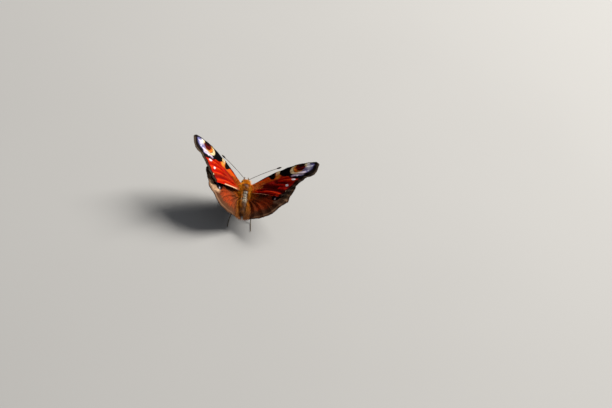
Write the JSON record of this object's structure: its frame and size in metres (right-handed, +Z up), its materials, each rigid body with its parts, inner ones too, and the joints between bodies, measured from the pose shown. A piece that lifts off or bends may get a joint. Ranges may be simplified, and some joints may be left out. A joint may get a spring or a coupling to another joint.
{
  "type": "peacock butterfly",
  "caption": "Life-size butterfly standing with its wings half open, with eyespots, veined wings, clubbed feelers and a hairy thorax.",
  "frame": {"origin": "on the floor, at the middle of the whole animal's length and width", "axes": "+Z up, +Y from the tail to the head, +X to the animal's right, along the span of the wings"},
  "size_m": [0.0517, 0.0262, 0.0301],
  "materials": {
    "fur": "matt orange-brown hair",
    "abdomen": "matt dark brown, short hair",
    "eye": "dark, faceted, satin",
    "feeler": "dark brown, satin",
    "forewing": "matt scales, red with eyespots",
    "hindwing": "matt scales, brown-red with eyespots",
    "leg": "matt grey-brown"
  },
  "bodies": {
    "root": {"head": "fur", "thorax": "fur", "abdomen": "abdomen", "proboscis": "feeler", "eye_right": "eye", "palp_right": "fur", "antenna_right": "feeler", "forewing_right": "forewing", "hindwing_right": "hindwing", "foreleg_right": "leg", "mid_leg_right": "leg", "hind_leg_right": "leg", "eye_left": "eye", "palp_left": "fur", "antenna_left": "feeler", "forewing_left": "forewing", "hindwing_left": "hindwing", "foreleg_left": "leg", "mid_leg_left": "leg", "hind_leg_left": "leg"}
  },
  "joints": []
}
